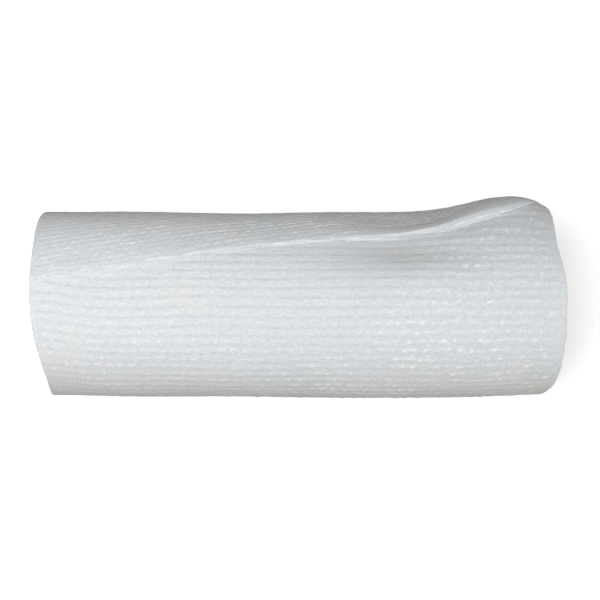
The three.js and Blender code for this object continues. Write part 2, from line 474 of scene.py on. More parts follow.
@dataclass(frozen=True)
class Crepe:
    """The crimped rows of the crepe: grooves pinched at every other crossing, and raised loops between them.

    In the patches called taut the turn is pulled flat, so that only thin lines mark its rows. Under the middle
    of the fold, and behind its lip, two patches of painted shade darken the colour where the turn lies in
    shade.
    """

    winding: Winding
    front_rows: Rows = Rows(2.85, 3.2, 0.11, 0.05, 0.12, 0.18)
    back_rows: Rows = Rows(1.85, 2.8, 0.045, 0.025, 0.025, 0.08)
    taut: tuple[Patch, ...] = (
        Patch(-9, -5.5, 25, 9.5, 1, 4),
        Patch(10, 8, 26, 7, 1, 4),
        Patch(0, -17, 22, 8, 0.6, 4),
    )
    # Painted shade: two patches that darken the colour where the turn lies in shade, under the fold and behind
    # its lip
    painted_shade_under_fold: Patch = Patch(29, 10.5, 20, 8, 0.62, 2)
    painted_shade_behind_lip: Patch = Patch(42, 29, 20, 8, 0.55, 2)
    fade: tuple[float, float] = (0.4, 3.5)  # from the edge of the strip inwards, where the rows come in
    pressed: float = 15.0  # half breadth in degrees of the underside, where the weight presses them flat
    flare_reach: float = 22.0
    flare_lift: float = 1.8
    sweep_from: float = 16.0
    sweep_to: float = 84.0
    sweep_lift: float = 6.5
    sweep_depth: float = 15.0
    right_from: float = 26.0  # the right part of the front, where rows wander more and loops stand out
    right_to: float = 44.0
    groove_share: float = 0.13  # half breadth of a groove, as a share of the pitch of its rows
    pinch_reach: float = 0.5
    loop_reach: float = 0.44
    loop_breadth: float = 0.28
    loop_shift: float = 0.3  # how far loops stand off the middle of their row, as a share of its pitch
    loop_slant: float = 0.12
    loop_bend: float = 0.25
    thread_breadth: float = 0.24
    thread_height: float = 0.06
    grain_height: float = 0.07
    jitter: float = 0.16  # unevenness of pinches and loops along their row, as a share of their pitch
    rib_height: float = 0.05  # of the woven edge, as its pitch and its fade
    rib_pitch: float = 1.3
    rib_fade: tuple[float, float] = (3, 7)

    def strength(self, x: Array, angle: Array) -> Array:
        """The rows fade out at the selvedges and where the weight presses them flat."""
        inwards = self.winding.half_width - np.abs(x)
        return smoothstep(inwards, *self.fade) * (1 - bell(angle, UNDERSIDE, self.pressed))

    def selvedge(self, x: Array) -> Array:
        """Height of the fine lengthwise ribs in the woven edge: a cosine that dies away inwards.

        Args:
            x: place along the roll.

        Returns:
            Millimetres.
        """
        inwards = self.winding.half_width - np.abs(x)
        wave = np.cos(2 * math.pi * inwards / self.rib_pitch)
        return self.rib_height * wave * (1 - smoothstep(inwards, *self.rib_fade))

    def front(self, x: Array, s: Array, to_crest: Array, angle: Array) -> Relief:
        """The rows before the fold, along the roll: each is a groove beside a broad rib.

        Args:
            x: place along the roll.
            s: place along the strip, from the crown.
            to_crest: millimetres of strip from here to the crest of the fold.
            angle: place round the section.

        Returns:
            The relief there.
        """
        # The rows part a little at the left end, sweep up towards the fold on the right, and wander
        half = self.winding.half_width
        flare = self.flare_lift * smoothstep(-x, half - self.flare_reach, half)
        sweep = self.sweep_lift * smoothstep(x, self.sweep_from, self.sweep_to)
        sweep = sweep * np.exp(-((to_crest / self.sweep_depth) ** 2))
        right = smoothstep(x, self.right_from, self.right_to)
        drift = 0.22 * wander(x, s * 2.5, 42, seed=3) + 0.3 * (mottle(x, s, 7, 3, salt=41) - 0.5)
        drift = drift + 0.4 * right * wander(x, s * 2, 13, seed=9)
        rows = (s - flare - sweep + drift) / self.front_rows.pitch + 0.5 * smoothstep(s, 0, 15)

        # They are loose in uneven patches, and fainter at the far left and low on the front
        taut = np.clip(sum(patch.at(x, s) for patch in self.taut), 0, 1)
        faint = lerp(0.55, 1.0, smoothstep(x, -50, -20)) * lerp(0.6, 1.0, smoothstep(s, -34, -12))
        patchy = 0.55 + 0.9 * mottle(x, s, 11, 4.5, salt=4)
        loose = (1 - taut) * patchy * faint

        # Loops stand out most in the lower rows and on the right, and grooves are deepest near the fold
        lower = smoothstep(-s, 3, 15)
        beaded = np.clip(0.35 + 0.8 * lower + right, 0, 1.2) * (1 - taut)
        beaded = beaded * (0.5 + mottle(x, s, 9, 6, salt=7))
        beaded = beaded * lerp(0.65, 1.0, smoothstep(x, -45, 0)) * lerp(1.0, 1.5, smoothstep(-s, 9, 20))
        grooved = lerp(0.42, 1.0, smoothstep(s, -22, -5)) * lerp(1.0, 0.6, right)
        strength = self.strength(x, angle)
        made = self.relief(x, rows, self.front_rows, beaded, loose, grooved, strength, salt=5)
        return made.with_painted_shade(self.painted_shade_under_fold.at(x, s))

    def back(self, x: Array, s: Array, angle: Array) -> Relief:
        """The rows past the fold, which are closer and run askew, along the cut end.

        Args:
            x: place along the roll.
            s: place along the strip, from the crown.
            angle: place round the section.

        Returns:
            The relief there.
        """
        end = self.winding.end_at(x) / self.winding.degrees_per_mm
        drift = 0.2 * wander(x, s * 2, 36, seed=8) + 0.25 * (mottle(x, s, 6, 2.5, salt=43) - 0.5)
        rows = (s - end + drift) / self.back_rows.pitch
        clear = lerp(1.0, 1.6, smoothstep(x, -42, -20))
        askew = s - 0.2 * x
        loose = clear * (0.4 + 0.8 * mottle(x, askew, 10, 3.5, salt=12))
        beaded = clear * (0.3 + mottle(x, askew, 8, 3, salt=13))
        grooved = clear * lerp(0.55, 0.75, smoothstep(x, -15, 5))
        strength = self.strength(x, angle)
        made = self.relief(x, rows, self.back_rows, beaded, loose, grooved, strength, salt=11)
        return made.with_painted_shade(self.painted_shade_behind_lip.at(x, s))

    def relief(
        self,
        x: Array,
        rows: Array,
        kind: Rows,
        beaded: Array,
        loose: Array,
        grooved: Array,
        strength: Array,
        salt: float,
    ) -> Relief:
        """One stretch of crepe. The groove is a bell across the row, a pinch is a round pit in the groove,
        and a loop is a long bump on the rib. Pinches and loops of neighbouring rows stand half a pitch apart.

        Args:
            x: place along the roll.
            rows: place across the rows, counted in rows, with a groove at each whole number.
            kind: the sizes of the rows.
            beaded: how far the loops stand out, from 0 to 1.
            loose: how deep grooves and pinches are, from 0, taut, to 1.
            grooved: how deep the grooves are, and how much shade is painted in them, from 0 to 1.
            strength: a factor on all relief.
            salt: picks the unevenness.

        Returns:
            The relief.
        """
        # Grooves, and the pits where they are pinched
        jitter = self.jitter * wander(x * 3, rows * kind.pitch * 3, 17, int(salt))
        groove = np.round(rows)
        off_groove = (rows - groove) * kind.pitch
        in_groove = (off_groove / (self.groove_share * kind.pitch)) ** 2
        breaks = 0.45 + 0.9 * mottle(x, groove, 3.4, 1, salt + 3.3)
        groove_bell = grooved * breaks * np.exp(-in_groove)
        along = x / kind.pinch + 0.5 * (groove % 2) + jitter
        off_pinch = (along - np.round(along)) * kind.pinch
        depth = 0.2 + 0.8 * cell_value(groove, np.round(along), salt)
        pit = grooved * depth * np.exp(-((off_pinch / self.pinch_reach) ** 2) - in_groove)

        # Ribs between them, with loops that curl to either side and the thread that they stand on
        rib = np.floor(rows)
        off_rib = (rows - rib - 0.5) * kind.pitch
        over = x / kind.pinch + 0.5 * (rib % 2) + 0.25 + jitter
        off_loop = (over - np.round(over)) * kind.pinch
        size = cell_value(rib, np.round(over), salt + 2.5) ** 1.2
        shift = (cell_value(rib, np.round(over), salt + 5.5) - 0.5) * self.loop_shift * kind.pitch
        bend = self.loop_bend * off_loop**2 * np.sign(shift)
        curl = off_rib - shift - self.loop_slant * off_loop + bend
        loop = size * np.exp(-((off_loop / self.loop_reach) ** 2) - (curl / self.loop_breadth) ** 2)
        off_thread = (off_rib - 0.1 * shift) / self.thread_breadth
        thread = np.exp(-(off_thread**2)) * mottle(x, rib, 2.1, 1, salt + 9.1) ** 2

        # All of it together, with fine grain
        crown = 0.5 + 0.5 * np.cos(2 * math.pi * (rows - 0.5))
        grain = mottle(x, rows * kind.pitch, 1.3, 0.9, salt + 0.7) - 0.5
        height = (
            -kind.groove * groove_bell * (0.8 + 0.2 * loose)
            + kind.rib * crown * loose
            - kind.pit * pit * loose
            + kind.loop * loop * beaded
            + self.thread_height * thread * loose
            + self.grain_height * grain * (0.4 + 0.6 * loose)
        )
        # Painted shade darkens grooves and pinches where shade falls in them; a painted highlight lightens
        # loops, threads and the tops of the grain
        painted_shade = groove_bell * (0.50 - 0.28 * np.clip(loose, 0, 1)) + 0.7 * pit * loose
        bright = 1.15 * loop * beaded + 0.4 * thread * loose + 0.2 * np.clip(grain, 0, 1) * beaded
        return Relief(
            height * strength + self.selvedge(x),
            np.clip(painted_shade, 0, 1) * strength,
            np.clip(bright, 0, 1) * strength,
        )


# Making meshes from arrays


@dataclass
class Cloth:
    """A length of the strip as a grid of points: rows along the strip, columns round its cross-section."""

    points: Array
    uv: Array
    # Masks of painted shade and painted highlight, one value for each point
    painted_shade: Array
    loop: Array

    def mesh(self, name: str) -> bpy.types.Object:
        """Makes the grid a closed mesh: each cell is a quad, the columns join up, both end rows are capped.

        Args:
            name: the piece's name.

        Returns:
            The object, at the origin and with smooth shading.
        """
        rows, columns = self.points.shape[:2]
        index = np.arange(rows * columns).reshape(rows, columns)
        beside = np.roll(index, -1, axis=1)
        quads = np.stack([index[:-1], index[1:], beside[1:], beside[:-1]], axis=-1).reshape(-1)
        caps = len(quads) + np.array([0, columns])
        piece = build_object(
            name,
            self.points.reshape(-1, 3),
            np.concatenate([quads, index[0], index[-1][::-1]]),
            np.concatenate([np.arange(0, len(quads), 4), caps]),
            {"painted_shade": self.painted_shade.reshape(-1), "loop": self.loop.reshape(-1)},
            self.uv.reshape(-1, 2),
        )
        edges = np.empty(len(piece.data.edges) * 2, np.int32)
        piece.data.edges.foreach_get("vertices", edges)
        line = edges.reshape(-1, 2) // columns
        rim = (line[:, 0] == line[:, 1]) & np.isin(line[:, 0], (0, rows - 1))
        piece.data.attributes.new("sharp_edge", "BOOLEAN", "EDGE").data.foreach_set("value", rim)
        return piece


def linked(name: str, data: bpy.types.ID) -> bpy.types.Object:
    """Makes an object of a mesh, a light or a camera.

    Args:
        name: the object's name.
        data: what it shows.

    Returns:
        The new object, linked to the scene.
    """
    made = bpy.data.objects.new(name, data)
    bpy.context.scene.collection.objects.link(made)
    return made


def build_object(
    name: str,
    points: Array,
    loops: Array,
    starts: Array,
    masks: dict[str, Array],
    uv: Array,
) -> bpy.types.Object:
    """Puts arrays into a mesh.

    Args:
        name: the piece's name.
        points: corners in millimetres, one row each.
        loops: the corners of all faces, one after another.
        starts: where each face starts in loops.
        masks: values for each corner, by the name of their attribute.
        uv: the place of each corner on the strip, in millimetres.

    Returns:
        The new object, linked to the scene.
    """
    mesh = bpy.data.meshes.new(name)
    mesh.vertices.add(len(points))
    mesh.vertices.foreach_set("co", (points * MM).astype(np.float32).reshape(-1))
    mesh.loops.add(len(loops))
    mesh.loops.foreach_set("vertex_index", loops.astype(np.int32))
    mesh.polygons.add(len(starts))
    mesh.polygons.foreach_set("loop_start", starts.astype(np.int32))
    mesh.update(calc_edges=True)
    mesh.polygons.foreach_set("use_smooth", np.ones(len(starts), bool))
    for mask, values in masks.items():
        mesh.attributes.new(mask, "FLOAT", "POINT").data.foreach_set("value", values.astype(np.float32))
    layer = mesh.uv_layers.new(name="strip")
    layer.uv.foreach_set("vector", uv[loops].astype(np.float32).reshape(-1))
    mesh.update()
    return linked(name, mesh)


@dataclass(frozen=True)
class CrossSection:
    """The strip's section across its width: a flat outer face, two round edges and a flat inner face."""

    winding: Winding
    thickness: float = 0.74
    outer: int = 262
    edge: int = 5
    inner: int = 10

    def loop(self) -> tuple[Array, Array, Array]:
        """The section as a closed line of points, from the left edge over the outer face and back beneath.

        Returns:
            Place across the strip, depth under its outer face, and a mask that is 1 on the outer face.
        """
        round_off = self.thickness / 2
        reach = self.winding.half_width - round_off
        turn = np.linspace(math.pi / 2, -math.pi / 2, self.edge + 2)[1:-1]
        over = np.linspace(-reach, reach, self.outer)
        under = np.linspace(reach, -reach, self.inner)
        right = reach + round_off * np.cos(turn)
        edge_depth = round_off * (1 - np.sin(turn))
        across = np.concatenate([over, right, under, -right[::-1]])
        depth = np.concatenate(
            [np.zeros(self.outer), edge_depth, np.full(self.inner, self.thickness), edge_depth[::-1]]
        )
        outside = np.concatenate([np.ones(self.outer), np.zeros(2 * self.edge + self.inner)])
        return across, depth, outside


# The pieces


@dataclass
class OuterTurn:
    """The outermost turn of the strip, with the crepe's relief on its outer face, in three lengths."""

    winding: Winding
    crepe: Crepe
    tuck: float = 6.0  # degrees that the turn runs on beneath the cut end
    front_from: float = -120.0
    end_rows: int = 6
    under_lines: int = 118
    front_lines: int = 236
    fold_lines: int = 26
    back_lines: int = 78
    end_lines: int = 40
    under_length: float = 62.0
    front_length: float = 104.0
    end_length: float = 11.4
    dent: float = 0.16
    settled: float = 22.0  # half breadth in degrees of the underside, where the turn has no dents
    ragged_finely: float = 0.12
    ragged_slowly: float = 0.25
    far_crest: float = 90.0  # stands for a crest out of reach, on the length that the fold doesn't touch
    strand_pitch: float = 1.3
    strand_height: float = 0.2
    strand_shade: float = 0.45
    lip_steps: tuple[float, ...] = (0.12, 0.24, 0.3)  # lines past the cut end, in millimetres
    lip_thins: tuple[float, ...] = (0.82, 0.5, 0.12)  # what is left of the thickness on them

    def end_seam(self, x: Array) -> Array:
        """The angle where the last length starts: in a groove, a few rows before the cut end."""
        back = self.end_rows * self.crepe.back_rows.pitch * self.winding.degrees_per_mm
        return self.winding.end_at(x) - back

    def surface(self, x: Array, angle: Array, depth: Array, height: Array) -> Array:
        """Points of the turn: its radius on the spiral, with slow dents, plus the height less the depth.

        Args:
            x: place along the roll.
            angle: place round the section.
            depth: how far under the outer face the point lies.
            height: relief and fold.

        Returns:
            Points in millimetres.
        """
        lead = self.winding.end_at(x) - angle
        s = angle / self.winding.degrees_per_mm
        settle = 1 - bell(angle, UNDERSIDE, self.settled)
        dents = self.dent * wander(x, s, 30, seed=21) * settle
        radius = self.winding.outside(x, angle, lead) + dents + height - depth
        side = np.sign(x)
        ragged = self.ragged_finely * wander(x * 0, s, 5, seed=33)
        ragged = ragged + self.ragged_slowly * wander(x * 0, s, 21, seed=34)
        drawn = self.winding.drawn_in(side, angle) + ragged * (0.6 + 0.4 * side)
        along = x - side * self.winding.near_end(x) * drawn
        return self.winding.place(along, angle, radius)

    def cloth(self, section: CrossSection, angle: Array, strip: Array, relief: Relief, up: Array) -> Cloth:
        """One length of the turn as a grid.

        Args:
            section: the strip's cross-section.
            angle: place round the section, for each line and column.
            strip: place along the strip in millimetres, likewise.
            relief: what the weave does there.
            up: how far the fold lifts the strip.

        Returns:
            The grid.
        """
        across, depth, outside = section.loop()
        x = np.broadcast_to(across, angle.shape)
        shown = relief.times(np.broadcast_to(outside, angle.shape))
        points = self.surface(x, angle, depth, shown.height + up)
        return Cloth(points, np.stack([x, strip], axis=-1), shown.painted_shade, shown.loop)

    def under(self) -> Cloth:
        """The length from beneath the cut end, round the lower back, to the underside.

        Returns:
            The grid.
        """
        section = CrossSection(self.winding, outer=170)
        across, _, _ = section.loop()
        start = self.winding.end_at(across) - FULL_TURN - self.tuck
        angle = lerp(start, self.front_from, np.linspace(0, 1, self.under_lines)[:, None])
        x = np.broadcast_to(across, angle.shape)
        s = angle / self.winding.degrees_per_mm
        relief = self.crepe.front(x, s, np.full(s.shape, self.far_crest), angle)
        return self.cloth(section, angle, s, relief, np.zeros(s.shape))

    def front(self) -> Cloth:
        """The length from the underside by the front and over the fold, to near the cut end.

        Returns:
            The grid.
        """
        # Lines of points from the underside to the fold, over its profile, and on to the seam of the last rows
        section = CrossSection(self.winding)
        across, _, _ = section.loop()
        per_mm = self.winding.degrees_per_mm
        line = self.winding.fold.at(across, "angle")
        fold_across, fold_up = self.winding.fold.profile(across, np.linspace(0, 1, self.fold_lines))
        folded = line + fold_across * per_mm
        before = np.linspace(0, 1, self.front_lines, endpoint=False)[:, None]
        past = np.linspace(0, 1, self.back_lines + 1)[1:, None]
        seam = self.end_seam(across)
        to_fold = lerp(self.front_from, folded[0], before)
        angle = np.concatenate([to_fold, folded, lerp(folded[-1], seam, past)])
        up = np.zeros(angle.shape)
        up[self.front_lines : self.front_lines + self.fold_lines] = fold_up
        risen = smoothstep(np.arange(len(angle)) - self.front_lines, 0, self.fold_lines // 2)[:, None]
        up -= (1 - risen) * self.winding.fold.crease(across, np.minimum(angle, folded[0]), per_mm)

        # Millimetres of strip up to each line, on which the weave is laid out
        steps = np.hypot(np.diff(angle / per_mm, axis=0), np.diff(up, axis=0))
        run = np.concatenate([np.zeros((1, len(across))), np.cumsum(steps, axis=0)])
        crest = self.front_lines + self.fold_lines // 2
        past_crest = run - run[crest]
        front_s = run + self.front_from / per_mm
        back_s = run - run[-1] + seam / per_mm

        # The front rows give way to the back rows at the crest, slowly where the fold is soft
        x = np.broadcast_to(across, angle.shape)
        front = self.crepe.front(x, front_s, -past_crest, angle)
        back = self.crepe.back(x, back_s, angle)
        soft = 0.6 + 3.4 * smoothstep(-x, 0, 50)
        relief = front.mixed(back, smoothstep(past_crest / soft, -1, 1))
        return self.cloth(section, angle, front_s, self.crested(x, past_crest, relief), up)

    def crested(self, x: Array, past_crest: Array, relief: Relief) -> Relief:
        """Adds what the fold does to the weave: a smooth soft crest, and fine raised ribs along the lip with
        painted highlights on them and painted shade between them.

        Args:
            x: place along the roll.
            past_crest: millimetres of strip past the crest of the fold.
            relief: the weave.

        Returns:
            The relief with the fold's marks.
        """
        # The lip's edge stands before the crest, frays a little, and leaves the weave beside it calm
        sharp = np.clip(self.winding.fold.at(x, "sharp"), 0, 1)
        frayed = 0.45 * wander(x, x * 0, 8, seed=62) * (1 - 0.7 * sharp)
        edge = past_crest + frayed + sharp * (0.4 + self.winding.fold.at(x, "slope"))
        near = np.exp(-((edge / 1.5) ** 2)) + sharp * np.exp(-(((past_crest - 1) / 2.6) ** 2))
        calm = relief.times(1 - np.clip(near, 0, 1) * lerp(0.25, 0.85, sharp))

        # Strands are ribs along the edge, which break off here and there
        sway = 0.8 * wander(x, x * 0, 30, seed=61)
        strands = (0.5 + 0.5 * np.cos(2 * math.pi * (edge + 0.2) / self.strand_pitch + sway)) ** 2
        reach = lerp(0.9 + 1.5 * smoothstep(-x, 25, 60), 1.05, sharp)
        band = np.exp(-(((edge + 0.1) / reach) ** 2)) * self.crepe.strength(x, x * 0)
        broken = 0.1 + 0.9 * smoothstep(mottle(x, past_crest, 2.6, 1.3, salt=66), 0.3, 0.8)
        # Painted highlight on the strands, and painted shade between them where the lip is sharp
        bright = strands * band * broken * lerp(0.6, 1.0, sharp)
        height = calm.height + self.strand_height * strands * band * lerp(0.4, 1.0, sharp)
        painted_shade = np.clip(calm.painted_shade + self.strand_shade * (1 - strands) * band * sharp, 0, 1)
        return Relief(height, painted_shade, np.clip(calm.loop + bright, 0, 1))

    def end(self) -> Cloth:
        """The last rows before the cut end, whose edge is thinned and pressed round.

        Returns:
            The grid.
        """
        section = CrossSection(self.winding)
        across, depth, outside = section.loop()
        per_mm = self.winding.degrees_per_mm
        seam, end = self.end_seam(across), self.winding.end_at(across)
        frayed = 0.25 * (mottle(across, across * 0, 1.7, 1, salt=71) - 0.5) * per_mm
        lines = lerp(seam, end + frayed, np.linspace(0, 1, self.end_lines)[:, None])
        lip = np.array(self.lip_steps)[:, None] * per_mm
        angle = np.concatenate([lines, end + frayed + lip])
        x = np.broadcast_to(across, angle.shape)
        s = angle / per_mm
        relief = self.crepe.back(x, s, angle).times(np.broadcast_to(outside, angle.shape))
        thin = np.concatenate([np.ones(self.end_lines), self.lip_thins])[:, None]
        middle = section.thickness / 2
        points = self.surface(x, angle, middle + (depth - middle) * thin, relief.height * thin)
        return Cloth(points, np.stack([x, s], axis=-1), relief.painted_shade, relief.loop)


@dataclass
class InnerTurns:
    """The wound turns beneath the outermost one, from the eye outwards. Their edges show at both ends."""

    winding: Winding
    crepe: Crepe
    thickness: float = 0.78
    step: float = 0.95
    eye: float = 1.0
    starts_at: float = 366.0  # degrees from the cut end, so that the tucked outer turn has room
    inset: float = 0.35
    crimp: float = 0.1
    telescope: float = 0.5  # how far whole turns stand out or in at the ends
    ragged_slowly: float = 0.22
    ragged_finely: float = 0.1

    def cloth(self) -> Cloth:
        """The strip on its spiral, in equal steps along its length: the square of the radius falls evenly.

        Returns:
            The grid of its points.
        """
        section = CrossSection(self.winding, self.thickness, outer=4, edge=4, inner=4)
        across, depth, _ = section.loop()
        layer = self.winding.layer
        first = self.starts_at - self.winding.end_at(across) + self.winding.end_angle
        outermost = self.winding.radius - layer * first / FULL_TURN
        at = np.linspace(0, 1, int(self.length / self.step))[:, None]
        spiral = np.sqrt(lerp(outermost**2, self.innermost**2, at))
        run = math.pi * (self.winding.radius**2 - spiral**2) / layer
        lead = (self.winding.radius - spiral) * FULL_TURN / layer
        angle = self.winding.end_angle - lead
        x = np.broadcast_to(across, (len(run), len(across)))
        side = np.sign(x)
        share = spiral / self.winding.radius
        drawn = self.winding.drawn_in(side, angle) * share
        crimp = self.crimp * np.cos(2 * math.pi * run / self.crepe.front_rows.pitch)
        slow = self.telescope * wander(side * 90, run, 260, seed=55)
        quick = self.ragged_slowly * wander(side * 30, run, 40, seed=56)
        quick = quick + self.ragged_finely * wander(side * 9, run, 7, seed=57)
        inset = self.inset + drawn + slow + quick + crimp
        along = x - side * self.winding.near_end(x) * inset
        lead_here = lead + self.winding.end_at(x) - self.winding.end_angle
        crease = share**2 * self.winding.fold.crease(x, angle, self.winding.degrees_per_mm)
        radius = np.maximum(self.winding.outside(x, angle, lead_here) - crease - depth, self.eye / 2)
        points = self.winding.place(along, angle, radius)
        uv = np.stack(np.broadcast_arrays(x, -run), axis=-1)
        flat = np.zeros(x.shape)
        return Cloth(points, uv, flat, flat)

    @property
    def innermost(self) -> float:
        """Radius of the strip's outer face where it starts at the eye."""
        return self.eye + self.thickness

    @property
    def length(self) -> float:
        """Length of strip in these turns, in millimetres."""
        outermost = self.winding.radius - self.winding.layer * self.starts_at / FULL_TURN
        return math.pi * (outermost**2 - self.innermost**2) / self.winding.layer


# Finishes


class Socket(Enum):
    """Kinds of socket on a node group."""

    NUMBER = "NodeSocketFloat"
    VECTOR = "NodeSocketVector"


@dataclass
class Graph:
    """A node tree with short ways to add nodes and links."""

    tree: bpy.types.NodeTree

    def node(self, kind: str, **values: object) -> bpy.types.Node:
        """Adds a node and sets its properties.

        Args:
            kind: the node's type name.
            values: its properties, by name.

        Returns:
            The node.
        """
        made = self.tree.nodes.new(kind)
        for name, value in values.items():
            setattr(made, name, value)
        return made

    def feed(self, socket: bpy.types.NodeSocket, source: object) -> None:
        """Sets an input to a plain value, or links it to an output.

        Args:
            socket: the input.
            source: a value or an output.
        """
        if isinstance(source, bpy.types.NodeSocket):
            self.tree.links.new(source, socket)
        else:
            socket.default_value = source

    def feed_all(self, node: bpy.types.Node, sources: dict[str, object]) -> None:
        """Feeds several inputs of a node, by name."""
        for label, source in sources.items():
            self.feed(node.inputs[label], source)

    def step(self, value: bpy.types.NodeSocket, low: float, high: float) -> bpy.types.NodeSocket:
        """A soft step from 0 to 1.

        Args:
            value: the output that it is read at.
            low: the step is 0 up to here.
            high: the step is 1 from here on.

        Returns:
            The output socket.
        """
        made = self.node("ShaderNodeMapRange", interpolation_type="SMOOTHSTEP")
        self.feed_all(made, {"Value": value, "From Min": low, "From Max": high})
        return made.outputs["Result"]

    def math(self, operation: str, *sources: object) -> bpy.types.NodeSocket:
        """A Math node's result.

        Args:
            operation: the node's operation.
            sources: its inputs in order, numbers or outputs.

        Returns:
            The output socket.
        """
        made = self.node("ShaderNodeMath", operation=operation)
        for socket, source in zip(made.inputs, sources):
            self.feed(socket, source)
        return made.outputs[0]

    def mix(self, factor: object, a: object, b: object) -> bpy.types.NodeSocket:
        """Two colours mixed.

        Args:
            factor: the share of b.
            a: a colour.
            b: a colour.

        Returns:
            The output socket.
        """
        made = self.node("ShaderNodeMix", data_type="RGBA")
        self.feed(made.inputs["Factor"], factor)
        self.feed(made.inputs[6], a)
        self.feed(made.inputs[7], b)
        return made.outputs[2]


def new_group(
    name: str,
    inputs: dict[str, tuple[Socket, float | None]],
    outputs: dict[str, Socket],
) -> tuple[Graph, bpy.types.Node, bpy.types.Node]:
    """Starts a shader node group.

    Args:
        name: the group's name.
        inputs: kind and default value of each input, by name.
        outputs: kind of each output, by name.

    Returns:
        The group's graph, and its input and output nodes.
    """
    tree = bpy.data.node_groups.new(name, "ShaderNodeTree")
    for label, (kind, value) in inputs.items():
        socket = tree.interface.new_socket(name=label, in_out="INPUT", socket_type=kind.value)
        if value is not None:
            socket.default_value = value
    for label, kind in outputs.items():
        tree.interface.new_socket(name=label, in_out="OUTPUT", socket_type=kind.value)
    graph = Graph(tree)
    return graph, graph.node("NodeGroupInput"), graph.node("NodeGroupOutput")


def yarn_group() -> bpy.types.NodeTree:
    """Fine yarns of the weave on the strip's own millimetres: the product of two sine waves, one for each set
    of yarns, roughened by noise that is stretched along them.

    Returns:
        A group that gives the yarns' height and a mask of their tops, on which the material paints highlights.
    """
    graph, given, result = new_group(
        "crepe yarns",
        {
            "Strip": (Socket.VECTOR, None),
            "Ends per mm": (Socket.NUMBER, 1.1),
            "Picks per mm": (Socket.NUMBER, 1.4),
            "Unevenness": (Socket.NUMBER, 0.6),
        },
        {"Height": Socket.NUMBER, "Crowns": Socket.NUMBER},
    )
    noises = []
    for reach in ((0.8, 2.2, 1.0), (2.3, 1.1, 1.0)):
        stretched = graph.node("ShaderNodeMapping")
        graph.feed_all(stretched, {"Scale": reach, "Vector": given.outputs["Strip"]})
        noise = graph.node("ShaderNodeTexNoise", noise_dimensions="2D")
        graph.feed_all(noise, {"Vector": stretched.outputs["Vector"], "Scale": 0.8, "Detail": 2.0})
        noises.append(graph.math("SUBTRACT", noise.outputs["Fac"], 0.5))
    wobble = graph.math("MULTIPLY", noises[0], given.outputs["Unevenness"])
    parts = graph.node("ShaderNodeSeparateXYZ")
    graph.feed(parts.inputs[0], given.outputs["Strip"])
    waves = []
    for axis, count in (("X", "Ends per mm"), ("Y", "Picks per mm")):
        yarn = graph.math("ADD", graph.math("MULTIPLY", parts.outputs[axis], given.outputs[count]), wobble)
        waves.append(graph.math("SINE", graph.math("MULTIPLY", yarn, 2 * math.pi)))
    woven = graph.math("MULTIPLY", *waves)
    rough = graph.math("MULTIPLY", graph.math("ADD", *noises), 1.8)
    height = graph.math("ADD", graph.math("MULTIPLY", woven, 0.3), rough)
    graph.feed_all(result, {"Height": height, "Crowns": graph.step(height, -0.35, 0.65)})
    return graph.tree


def cast_group() -> bpy.types.NodeTree:
    """The slow change of tone over bleached cotton: two noises of different grain in the object's own space.

    Returns:
        A group that gives a warm mask and a cool mask.
    """
    graph, given, result = new_group(
        "cotton cast",
        {"Place": (Socket.VECTOR, None), "Grain": (Socket.NUMBER, 26.0)},
        {"Warm": Socket.NUMBER, "Cool": Socket.NUMBER},
    )
    for label, grain_times, low, high in (("Warm", 1.0, 0.5, 0.72), ("Cool", 1.9, 0.5, 0.7)):
        noise = graph.node("ShaderNodeTexNoise")
        scale = graph.math("MULTIPLY", given.outputs["Grain"], grain_times)
        graph.feed_all(noise, {"Vector": given.outputs["Place"], "Scale": scale, "Detail": 2.0})
        graph.feed(result.inputs[label], graph.step(noise.outputs["Fac"], low, high))
    return graph.tree


def opaque(colour: Colour) -> tuple[float, float, float, float]:
    """The colour with full alpha."""
    return (*colour, 1.0)


